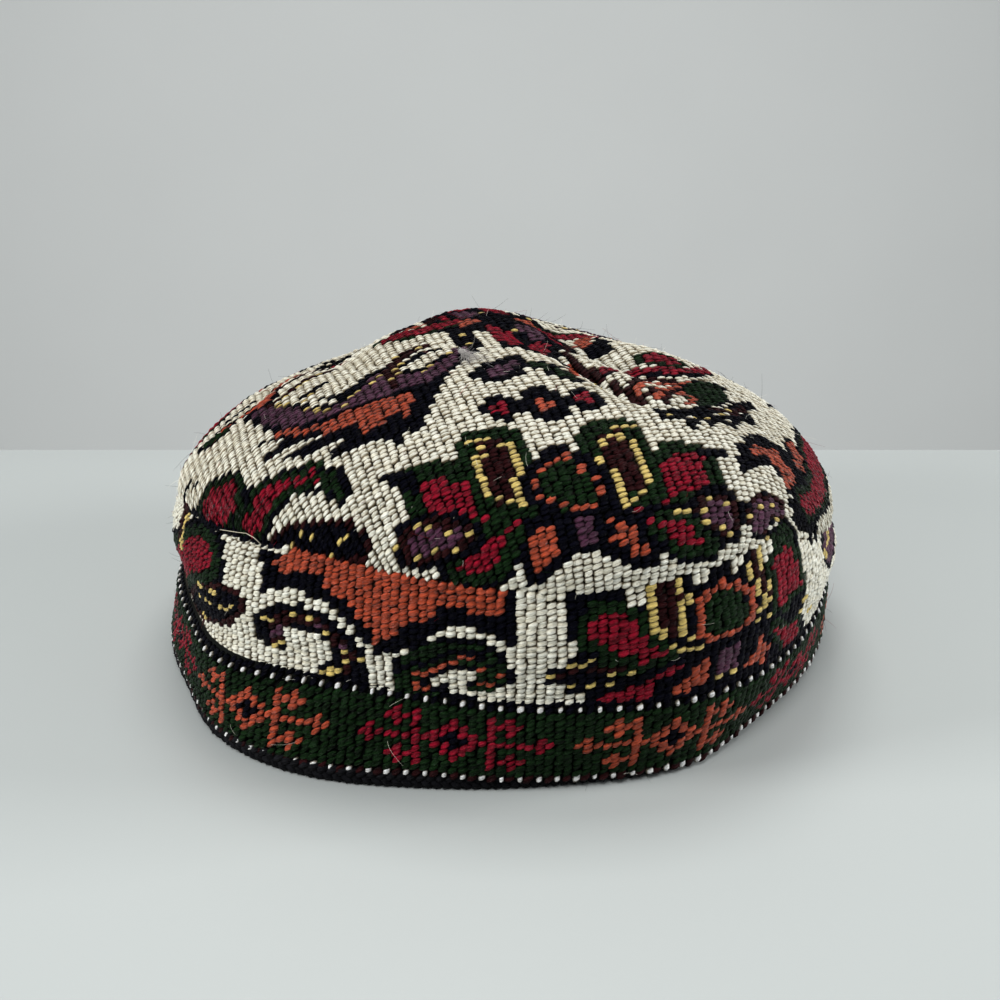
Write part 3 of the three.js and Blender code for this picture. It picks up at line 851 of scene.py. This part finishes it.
reach = int(crown_round / crown_row) + 1
columns, rows = np.meshgrid(np.arange(-reach, reach + 1), np.arange(-reach, reach + 1))
crown_u, crown_v = columns.ravel() * crown_column, rows.ravel() * crown_row
on_cloth = np.hypot(crown_u, crown_v) < crown_round - crown_margin
crown_u, crown_v = crown_u[on_cloth], crown_v[on_cloth]
behind = np.where(crown_v > np.interp(crown_u, front_turns, front_ends), -1, 1)
crown = Chart(crown_u / chart_unit * behind, crown_v / chart_unit * behind, "ivory")

# Front flower: its dark heart, then petals from the back to the front.
crown.patch("navy", [(-12.6, -44.6), (-7, -45.4), (-4.5, -45), (-2, -45.8), (3, -46.2), (6, -47.6),
    (3.8, -52.4), (1, -52.6), (-1.5, -50.8), (-3, -49.9), (-6, -49.9), (-8, -51.4), (-9.5, -52.4),
    (-11.8, -52.6), (-12.6, -49.8)])
crown.patch("crimson", [(-21.5, -38.1), (-18.6, -38.3), (-17.4, -38.8), (-17.4, -39.8), (-16.2, -39.8),
    (-16.1, -42.2), (-15.2, -42.3), (-15.2, -43.2), (-13, -43.8), (-12.9, -44.5), (-16, -44.5),
    (-16.2, -43.6), (-19.2, -43.3), (-19.4, -42.8), (-20.8, -42.4), (-21.5, -41.8)], ("green", 2.5))
crown.patch("navy", [(-25.8, -35.6), (-22, -36.2), (-21, -38.2), (-22, -40), (-23.4, -38.4),
    (-24.6, -36.6)])
crown.patch("crimson", [(-20.2, -49.5), (-19, -48.8), (-17.4, -48), (-16.2, -47.2), (-14.2, -47.2),
    (-12.8, -46.4), (-12.2, -46.2), (-12.2, -46.8), (-13.6, -47.4), (-14.2, -49), (-15.4, -49.8),
    (-17.6, -49.8)], ("navy", 2.0), ("green", 1.5))
crown.patch("plum", [(-24.4, -44), (-22, -43.9), (-20, -44.6), (-18, -45.4), (-17.4, -46), (-20, -46.6),
    (-23.8, -46.4), (-25, -45.4)], ("navy", 1.9), ("maroon", 1.1))
crown.dots("yellow", [(-26.2, -44.6), (-23.5, -43.4), (-21.4, -43.8), (-19.3, -45.3), (-16.7, -45.7),
    (-24.2, -46.5), (-21.7, -46.8), (-19.3, -46.9)])
crown.patch("crimson", [(8.8, -39.5), (10.2, -39.5), (12.6, -40.3), (12, -44), (10.2, -44.9), (7, -44.9),
    (6.8, -45.8), (3.9, -45.8), (3.9, -45.3), (5.8, -43.2), (7, -43), (6.8, -40.9), (8.4, -40.4)],
    ("green", 1.8))
crown.line("navy", [(12.6, -39.6), (16.2, -39.4)], 1.5)
crown.patch("plum", [(10.6, -46.4), (13.6, -46.2), (14.8, -47.6), (14, -49.2), (11, -48.8), (9.6, -47.6)],
    ("navy", 1.8), ("maroon", 1.0))
crown.patch("crimson", [(4.2, -48.2), (7, -48), (7.2, -48.8), (8.6, -49), (8.8, -50), (10.8, -50.9),
    (9, -50.8), (6.6, -50.7), (5.6, -49.6), (4.4, -48.8)], ("navy", 1.9), ("green", 1.1))
crown.dots("yellow", [(7.4, -47), (8.2, -47.1), (10.1, -47.1), (11.8, -46), (13.3, -46.6), (10.4, -48.5),
    (12.3, -48.9), (14, -49.5)])
crown.dots("crimson", [(2.2, -46.8), (3.2, -47.6), (-11.3, -45.9)])
crown.patch("maroon", [(-12.9, -34.8), (-9.5, -34.8), (-9.4, -43.2), (-12.9, -43.2)], ("green", 2.3))
crown.line("yellow", [(-13.4, -36.9), (-13.4, -42)], 1.1)
crown.line("yellow", [(-9, -35.6), (-9, -40.2), (-10, -40.8), (-10, -43)], 1.0)
crown.dots("yellow", [(-13.3, -34.2), (-12.2, -34.2), (-12.2, -35.2), (-12.2, -36.4), (-11, -34.2),
    (-9.9, -35.1), (-12.4, -42.9), (-11.2, -43.5), (-10.1, -44.2), (-8.9, -43.5), (-8, -44.4)])
crown.patch("maroon", [(0.9, -35.6), (4.3, -35.4), (4, -44), (0.9, -44)], ("green", 2.2))
crown.line("yellow", [(0.8, -36.4), (0.5, -39), (0.3, -41.2)], 1.0)
crown.line("yellow", [(4.7, -37.2), (4.2, -43.2)], 1.0)
crown.line("yellow", [(1.2, -41.4), (1.1, -44.8)], 0.9)
crown.dots("yellow", [(3.2, -34.6), (4.1, -34.8), (5.2, -34.5), (1.9, -35.8), (3.9, -35.8), (3.9, -36.8),
    (3.1, -44.4), (2.1, -45.1), (-0.9, -45.6), (0, -45), (1, -45.7)])
crown.patch("green", [(-7.4, -40.6), (-6, -39.8), (-4, -38.4), (-2.6, -39.8), (-1.4, -41.6),
    (-1.2, -44.4), (-2.4, -45.3), (-6, -45.2), (-7.6, -43.4)], ("navy", 1.9))
crown.dots("orange", [(-3.9, -37.8), (-4.8, -38.6), (-5.8, -39.2), (-6.9, -40.1), (-8.1, -41.2),
    (-8.1, -42.1), (-8.1, -43), (-7, -43.7), (-6, -44.7), (-5, -45.3), (-4, -45.3), (-2.8, -45.3),
    (-3.1, -38.9), (-2.5, -40.1), (-1.8, -40.9), (-0.9, -42), (-0.9, -43), (-0.9, -44)])
crown.patch("orange", [(-11, -48), (-9.6, -47), (-7.8, -46.6), (-7.8, -48.6), (-7, -49), (-8, -49.6),
    (-8.8, -50.8), (-10, -51.2), (-11, -51.5)])
crown.patch("plum", [(-5.6, -46.5), (-3.2, -46.5), (-3.2, -49.1), (-5.6, -49.1)])
crown.patch("orange", [(-1.2, -47.1), (-0.2, -47.2), (0.8, -48.2), (1.8, -49), (1.6, -49.8), (2.9, -51.2),
    (2, -51.7), (-0.2, -50), (-1.8, -49.3), (-0.8, -48.8)])

# Three small diamonds above the flower.
crown.patch("crimson", [(-9.6, -29), (-8.4, -27.6), (-7.2, -29), (-8.4, -30.4)], ("navy", 1.3))
crown.patch("orange", [(-4.2, -29.1), (-3, -27.4), (-1.8, -29.1), (-3, -30.6)], ("navy", 2.0))
crown.patch("crimson", [(0.9, -28.6), (2, -27.2), (3.2, -28.6), (2.1, -30.1)], ("navy", 1.3))

# Left: crimson leaves, and the crescent with yellow spots at the seam.
crown.patch("crimson", [(-55, -16), (-51.8, -18.2), (-47.2, -19.4), (-46, -20.8), (-43.6, -22.4),
    (-43.4, -23.2), (-44.3, -26.3), (-46.8, -26), (-49, -25)], ("navy", 1.7), ("green", 1.3))
crown.patch("crimson", [(-45.6, -28.4), (-41.6, -29.2), (-41.2, -27.6), (-39.2, -28.2), (-36.8, -29),
    (-36.8, -29.8), (-35, -30.4), (-33.4, -29.9), (-33.2, -31), (-34.6, -31.2), (-36.6, -30.4),
    (-41.2, -30.8), (-41.6, -31.4), (-44.2, -31.3), (-45.8, -30)], ("navy", 1.6), ("green", 1.3))
crown.patch("green", [(-32.4, -31), (-30.6, -32.4), (-30, -35), (-31, -36.4), (-32.6, -33.6)],
    ("navy", 0.8))
crown.dots("crimson", [(-32.8, -32)])
crown.patch("navy", [(-43, -34.4), (-39, -35.4), (-35, -37.6), (-31.6, -39.6), (-29.8, -42.2),
    (-31.4, -43.4), (-34, -42.4), (-36, -41), (-40, -38.4)], ("maroon", 0.8))
crown.dots("yellow", [(-40, -37), (-36.6, -37.8), (-33, -40.5), (-32, -40.6), (-35.8, -41.6),
    (-38, -36.4)])
crown.line("navy", [(-54, -9), (-50.5, -10.6)], 1.2)
crown.dots("navy", [(-49, -14), (-51, -13)])
crown.patch("green", [(-46.5, -1), (-46.8, 0.6), (-42.2, 0.6), (-41.6, -6), (-43, -8), (-45.5, -7),
    (-46.8, -4)], ("navy", 0.6))
crown.patch("orange", [(-43, 3.4), (-41.4, -1.5), (-39.2, -4.4), (-36.8, -6.8), (-34.8, -6.4), (-34, 1.5),
    (-33.6, 4.6), (-37, 5.6)], ("navy", 1.1))
crown.line("maroon", [(-33.6, -1), (-31, 0.4), (-28, 1.2), (-25, 1.6)], 1.6)
crown.line("orange", [(-33, 3), (-30, 3.8), (-27.5, 4.4)], 1.5)

# Leaf in blue black and orange under a plum crescent with yellow spots.
crown.patch("navy", [(-40.8, -17.8), (-36.5, -20), (-34.5, -19.2), (-29, -21), (-15.5, -20.9),
    (-16, -25.3), (-17.5, -28), (-19, -30.2), (-21, -29.8), (-21.5, -32), (-23, -30), (-30.3, -30),
    (-30.5, -28.8), (-28, -27.5), (-34, -26.7), (-36.5, -25.5), (-33.5, -25), (-30, -25), (-33, -24),
    (-38.5, -23.5), (-38.8, -22.5), (-34.5, -22.3), (-36, -20.8)])
crown.patch("navy", [(-15.8, -20.8), (-13.2, -19.2), (-14, -22.4), (-16.5, -25.6)])
crown.patch("plum", [(-38.6, -8), (-36.1, -8.6), (-35, -11.4), (-33.8, -13.6), (-32.4, -15.6),
    (-31, -17.4), (-29.4, -19), (-26.4, -19.6), (-24, -17.6), (-22.6, -16.4), (-21.4, -14.4),
    (-19.5, -13.5), (-18.8, -16.2), (-15, -17), (-12.5, -15.4), (-10.6, -13.4), (-9.6, -14), (-10, -15.6),
    (-11.8, -17.4), (-13.8, -19.4), (-15.8, -20.9), (-29.5, -21.8), (-34, -19.8), (-36.6, -15.6)],
    ("navy", 1.0))
crown.line("navy", [(-28.6, -15.6), (-26.4, -17.6), (-24.4, -16.4), (-22.6, -14.4)], 1.1)
crown.line("maroon", [(-35.6, -9.4), (-33, -8.2), (-31, -6.2), (-28.4, -4.2), (-25.6, -2.6)], 1.5)
crown.line("navy", [(-31.4, -13.2), (-29, -11.4), (-27, -10.8)], 1.0)
crown.dots("yellow", [(-34.6, -10.2), (-32.8, -9.2), (-31.4, -7.4), (-29.6, -5.8), (-27.4, -4.2),
    (-33.4, -12.2), (-31, -14.6), (-29.6, -13)])
crown.line("maroon", [(-19.4, -19), (-19.2, -15), (-17.6, -12), (-15.4, -9.6), (-13.3, -8)], 1.8)
crown.line("navy", [(-17, -13.6), (-13.6, -10.6), (-11.6, -10.4)], 1.0)
crown.dots("yellow", [(-35, -11.5), (-31, -17), (-30.3, -18.8), (-28.4, -19.5), (-26.4, -20),
    (-25, -18.4), (-23.6, -17.6), (-22.4, -16.6), (-20.8, -14.8), (-19.1, -16.9), (-18, -16),
    (-17.5, -13.3), (-17, -10), (-14.3, -8.5), (-15.5, -17), (-13.5, -15.5), (-10.4, -12.5),
    (-29.4, -18.4), (-18.6, -14.4)])
crown.line("navy", [(-34, -20.4), (-29.5, -21.7), (-16, -21.3)], 0.9)
crown.patch("orange", [(-36.3, -19.4), (-34.5, -20), (-33.3, -21), (-32, -22), (-29.5, -22.6),
    (-25.8, -21.9), (-20.8, -22), (-18.5, -22), (-17.3, -22.5), (-18.5, -24.8), (-18.5, -26.3),
    (-20.3, -27.1), (-20.8, -25.5), (-22, -25.5), (-22.3, -26.8), (-24.5, -27.5), (-25.8, -28.3),
    (-25.3, -26), (-26.5, -25.4), (-29.8, -25.4), (-29.8, -23.3), (-33.3, -22.8), (-34, -21.3),
    (-35.8, -20.3)])

# Middle of the crown: a cluster of crimson, orange and plum petals.
crown.patch("navy", [(-13, -1), (-9, -3.4), (-8, -8), (-8.6, -12.6), (-6.2, -13.4), (-5.2, -8),
    (-4.6, -4.6), (-3.2, -6), (-2.6, -11.6), (-0.6, -12.6), (1.4, -14.4), (3.4, -14.4), (5.6, -10.6),
    (8.6, -11.4), (9.6, -6), (10, 1), (-13, 1)])
crown.patch("crimson", [(-18, -0.4), (-17, -2.4), (-14.6, -3.2), (-11.5, -2.9), (-8.4, -1.6),
    (-5.4, -0.9), (-5, 1.6), (-9.8, 1.4), (-13, 1), (-16.8, 0.8)], ("green", 0.9))
crown.patch("orange", [(-6.6, -1), (-4.5, 0.6), (-2.4, 0.2), (-3.5, -1.8), (-5.5, -2.9), (-6.6, -3.7)])
crown.patch("crimson", [(-2.6, -2.8), (-1.2, -3.6), (0.9, -5.4), (0.4, -8), (-0.4, -11.2), (-1.8, -11.2),
    (-2.6, -7.5)])
crown.patch("crimson", [(1.9, -7.4), (3.8, -7.2), (5, -8), (3.4, -11.5), (1.9, -13.6), (0.5, -11.6),
    (1.4, -9.4)])
crown.patch("plum", [(2.6, -1), (4.6, -2), (5.2, -5.8), (3.6, -6.4), (2.2, -4)])
crown.line("crimson", [(7.8, 0.6), (6.8, -3), (6.6, -6)], 0.9)
crown.line("maroon", [(8.8, -4), (7.4, -9), (5.8, -12.6), (5.2, -17), (5.2, -24)], 1.2)
crown.dots("yellow", [(-7, -6), (-7.2, -6.8), (-7.3, -9.8), (0.6, -4.2), (5.8, -21.3), (6.2, -23.5),
    (8.6, -10.4)])
crown.patch("plum", [(-9.6, -10.6), (-7.4, -10.8), (-7.2, -14.4), (-8.8, -14.6)])
crown.patch("plum", [(-8, -20.6), (-6.8, -19.2), (-4.4, -18.6), (-3, -17), (-2.7, -18.2), (-4.8, -21),
    (-6, -21.9), (-7.6, -21.6)], ("navy", 1.5))
crown.patch("green", [(-1.2, -18.3), (0.5, -19), (2.5, -22), (3.3, -24.2), (1.5, -23.5), (-0.3, -21),
    (-1.5, -19.6)], ("navy", 0.6))
crown.line("orange", [(4.8, -16), (4, -18.6), (3, -21.4)], 1.0)
crown.line("navy", [(3.6, -15.2), (2.6, -19.8)], 0.9)

# Right of the middle: curls and stripes that run down into the dent.
crown.patch("orange", [(10, -4), (11.5, -2), (13.5, 0.6), (15.2, 0.6), (14.5, -1.5), (12.5, -4),
    (11, -4.8)])
crown.patch("navy", [(11, -5), (13, -4.6), (15.2, -1), (16.4, 0.6), (15.6, -1.6), (14.2, -7.5),
    (13, -8.5), (11.5, -9), (10.8, -7)])
crown.line("navy", [(7.2, -21), (11, -19), (15, -17), (19, -17.9), (23, -16), (26.4, -12.6)], 1.0)
crown.line("crimson", [(7.4, -19.9), (11, -17.8), (15.2, -15.7), (19.2, -16.6), (22.8, -14.8),
    (26, -11.5), (28, -7)], 1.5)
crown.patch("crimson", [(16.2, -12.6), (18.2, -11.2), (20.4, -11.4), (21.4, -13.4), (20.4, -14.6),
    (17, -13.9)], ("green", 0.9))
crown.line("maroon", [(7, -18.6), (7.3, -22), (8.5, -25), (9.2, -28)], 0.9)
crown.line("maroon", [(9.3, -25), (10.8, -23.6), (13.5, -20.8), (15.8, -18.9), (19, -19.3)], 1.2)
crown.line("orange", [(9.9, -26), (11.6, -24.4), (14.2, -22.3), (16.8, -20.4)], 1.0)
crown.line("maroon", [(10.4, -27.2), (12.2, -25.6), (13.6, -24.4)], 0.8)
crown.line("maroon", [(13.4, -27.6), (16.2, -24.6), (19, -21.4)], 1.1)
crown.line("orange", [(12.6, -26.8), (15.4, -23.9), (18.6, -20.6), (21, -19)], 1.0)
crown.patch("navy", [(9.4, -31.4), (13.8, -28.5), (15.8, -28.2), (19.2, -27), (23, -25.2), (27, -21),
    (30.8, -17.5), (29.6, -21), (27.4, -23.2), (28.4, -26), (24.6, -28.4), (21.4, -32.6), (19.4, -31.4),
    (17.4, -34.4), (16, -32.6), (13.6, -35.8), (12.6, -33.4), (10.4, -33.8)])
crown.line("maroon", [(21, -26.8), (24, -26.2), (28, -22)], 1.2)
crown.patch("green", [(17.6, -23.8), (20, -20.2), (22, -18.4), (24.8, -17.2), (26.2, -17.2), (25.4, -21),
    (23.4, -23.8), (20.5, -25.8), (18.6, -26.4)], ("navy", 0.4))
crown.line("orange", [(17.6, -24.2), (19, -23), (19.6, -24.2), (18.2, -26.2), (16.8, -27)], 0.9)
crown.dots("yellow", [(12, -33), (16.2, -31), (18.8, -30.6), (24.4, -24.8), (22, -28)])
crown.dots("ivory", [(13.2, -30.4), (15, -32), (20.6, -28.6), (23.4, -26.6), (21.8, -30.4), (25.2, -27.2),
    (27, -24.2)])
crown.patch("crimson", [(22.8, -3), (24, -5.5), (24.6, -6.5), (26, -4), (28.5, -1), (30, 0.8), (24, 0.8)],
    ("navy", 0.8))

# Right: orange leaves on blue black, and the long crimson leaf.
crown.patch("navy", [(17.8, -42.6), (19, -38), (21, -36), (23.5, -32.5), (26.5, -30.2), (31, -30),
    (33, -25), (34, -23.4), (36.5, -26), (36.4, -31), (33, -36), (30.5, -40), (28, -43), (26.6, -42.6),
    (24.6, -39), (22.5, -39.4), (20, -41.4)])
crown.patch("orange", [(21, -38.3), (22.5, -36), (25, -35), (28, -32.5), (28.5, -34), (28, -35.5),
    (29.5, -36.5), (28.8, -39), (28, -41), (26.8, -42.3), (25.8, -40), (25.3, -37.5), (23.5, -37),
    (22, -38.3)])
crown.patch("orange", [(32.5, -28.5), (33.5, -25.8), (35, -24), (36.3, -26), (36, -29), (35, -31),
    (33.5, -33.5), (32, -33), (32.3, -31)])
crown.patch("crimson", [(54, -10), (50.5, -8), (46.5, -9.5), (43.5, -13), (40.5, -18), (38, -23),
    (37, -26), (36.4, -30), (33.5, -36), (31, -39.5), (29, -41), (30, -42.3), (32, -42), (34.5, -38),
    (38, -33.5), (40.5, -29.5), (41.2, -26), (43, -21), (46, -17), (50, -14), (54, -14)], ("navy", 1.7),
    ("green", 1.0))
crown.patch("navy", [(25.8, -43), (28.6, -43.2), (32, -43.4), (35.6, -40.2), (36.4, -41.4), (32, -45.2),
    (27, -45.2)])
crown.patch("orange", [(52, 0), (54, -2), (54, -9), (51.5, -6), (50.5, -3)], ("navy", 1.2))
crown.patch("plum", [(17, -47.5), (19.5, -45.8), (21.5, -45), (24, -45), (24.2, -46.2), (23, -46.8),
    (21, -47), (20.8, -49), (18.6, -49.2)], ("navy", 0.9), ("maroon", 0.6))
crown.dots("yellow", [(20, -46.6), (21.5, -46), (17.6, -47.8), (21.5, -49.6), (23.5, -47.3)])
crown.patch("green", [(22.4, -49.2), (25, -46.9), (28.5, -46.9), (29, -48), (24, -51)], ("navy", 0.6))
crown.line("navy", [(34, -6), (39, -1), (42, 0.8)], 1.2)
crown.line("navy", [(37, -12), (44, -5), (47, 0.6)], 1.0)

crown_places, across, along, crown_normals = lay_on(crown_surface, crown_u, crown_v, step=0.9)
embroider(
    "crown", crown_places, across * crown_column, along * crown_row, crown_normals, crown.thread,
    picture_lie, picture_height,
)

# Crown seam.
# The crown is sewn to the side wall edge to edge by a row of slanting stitches over both edges, each
# in the thread of the pattern beside it, so that the joint hardly shows. Where the seam is folded in at
# the front left, its stitches are blue black instead, as painted shade in the fold.
seam_lie, seam_height = (0.63, 0.28, 0.85), 0.8 * MM
seam_lift = 0.1              # mm that the stitches stand off both edges
# Between these turns the seam stitches are painted blue black as the shade of the fold.
fold_shade_turns = (300, 327)      # degrees between which the seam is folded in and dark
seam_turns = (np.arange(wall_columns) + 0.5) * 360 / wall_columns
seam_foot = look_up(wall_grid, np.full(wall_columns, 1.0), seam_turns)
seam_head = look_up(crown_grid, np.full(wall_columns, 0.0), seam_turns)
seam_places = (seam_foot + seam_head) / 2
seam_across = (np.roll(seam_places, -1, 0) - np.roll(seam_places, 1, 0)) / 2
rise_foot = look_up(wall_grid, np.full(wall_columns, 0.9), seam_turns)
rise_head = look_up(crown_grid, np.full(wall_columns, 0.03), seam_turns)
seam_along = unit(rise_head - rise_foot) * wall_pitch * MM
seam_normals = unit(np.cross(seam_across, seam_along))
seam_threads = []
for seam_u in np.arange(wall_columns) + 0.5:
    near = np.abs(wall_u - seam_u) < 0.1
    # Inside the fold the seam takes blue black thread as painted shade.
    in_fold_shade = fold_shade_turns[0] < seam_u * 360 / wall_columns < fold_shade_turns[1]
    seam_threads.append("navy" if in_fold_shade else wall.thread[near][wall_v[near].argmax()])
embroider(
    "crown_seam", seam_places + seam_normals * seam_lift * MM, seam_across, seam_along, seam_normals,
    np.array(seam_threads), seam_lie, seam_height,
)

# Loose fibres.
# Fine hairs of silk that have worked loose and stand off the stitches all over. A pale thread end
# lies along the crown's seam at the left, and a tuft of grey fluff on the crown near the middle.
hair_steps, hair_sides, hair_radius, hair_bend = 6, 3, 0.04 * MM, 1.4
hair_root = 0.4              # mm above the cloth, within the stitches
hair_floor = 0.3 * MM        # no hair goes lower, so that none is in the table
hair_starts = np.concatenate((band_places, wall_places, crown_places))
hair_normals = np.concatenate((band_normals, wall_normals, crown_normals))


def hairs(name, starts, aims, lengths, lift, bend, radius, finish, slot):
    """Curved hairs from their starts, each along its aim and lifted off, as one piece."""
    points, faces, strand = [], [], []
    steps = np.linspace(0, 1, hair_steps)[:, None]
    for number, (start, aim, length) in enumerate(zip(starts, aims, lengths)):
        sway = unit(seed.normal(0, 1, 3)) * length * seed.uniform(0.3, 1.0) * bend
        rise = lift[number] * length * seed.uniform(0.1, 0.7)
        path = start + aim * length * steps + sway * steps ** 2 + rise * (steps - 0.6 * steps ** 2)
        path[:, 2] = np.maximum(path[:, 2], hair_floor)
        hair, triangles = tube(path, radius * (1 - 0.6 * steps[:, 0]), hair_sides, closed=False)
        faces.append(triangles + sum(len(each) for each in points))
        points.append(hair)
        strand.append(np.full((len(hair), 2), seed.uniform(0, 30)))
    points = np.concatenate(points)
    numbers = {"tint": seed.uniform(0.2, 0.8, len(points)), "crest_shade": np.ones(len(points))}
    return make_piece(name, points, np.concatenate(faces), finish, slot, numbers, np.concatenate(strand))


for thread, count in (("ivory", 200), ("navy", 360), ("green", 160), ("crimson", 130)):
    chosen = seed.choice(len(hair_starts), count, replace=False)
    off = hair_normals[chosen]
    aims = unit(np.cross(off, seed.normal(0, 1, (count, 3))))
    hairs(
        f"loose_{thread}_hairs", hair_starts[chosen] + off * hair_root * MM, aims,
        seed.uniform(1.0, 4.5, count) * MM, off, hair_bend, hair_radius, *threads[thread],
    )

thread_end = np.array([
    (-64.2, -57.2, 48.2), (-62.6, -58.9, 49.4), (-60.2, -61.6, 50.2), (-57.6, -64.3, 50.9),
    (-55.2, -66.6, 51.6), (-53.2, -68.4, 51.3), (-51.4, -69.8, 50.2),
]) * MM
points, triangles = tube(thread_end, radius=0.10 * MM, sides=5, closed=False)
# The thread end's shade share is set part way along its whole length, so it takes an even tone between the
# lit tone and the painted shade.
make_piece(
    "loose_thread_end", points, triangles, *threads["ivory"],
    {"tint": np.zeros(len(points)), "crest_shade": np.full(len(points), 0.55)}, np.zeros((len(points), 2)),
)

grey_fluff = thread_finish("grey fluff", (0.42, 0.40, 0.38), 0.7, 0.8, 0.2, 0.2)
tuft_foot, tuft_tip = np.array((-8.6, -27.0, 83.0)) * MM, np.array((-3.4, -40.5, 81.8)) * MM
tuft_count, tuft_radius, tuft_bend = 90, 0.05 * MM, 0.6
tuft_spread = np.array((1.5, 1.6, 0.4)) * MM
tuft_starts = tuft_foot + seed.normal(0, 0.35, (tuft_count, 3)) * MM
tuft_aims = tuft_tip + seed.normal(0, 1, (tuft_count, 3)) * tuft_spread - tuft_starts
tuft_lengths = np.linalg.norm(tuft_aims, axis=1) * seed.uniform(0.5, 0.95, tuft_count)
hairs(
    "grey_tuft", tuft_starts, unit(tuft_aims), tuft_lengths,
    np.tile((0.0, 0.0, 0.25), (tuft_count, 1)), tuft_bend, tuft_radius, grey_fluff, "white_thread",
)
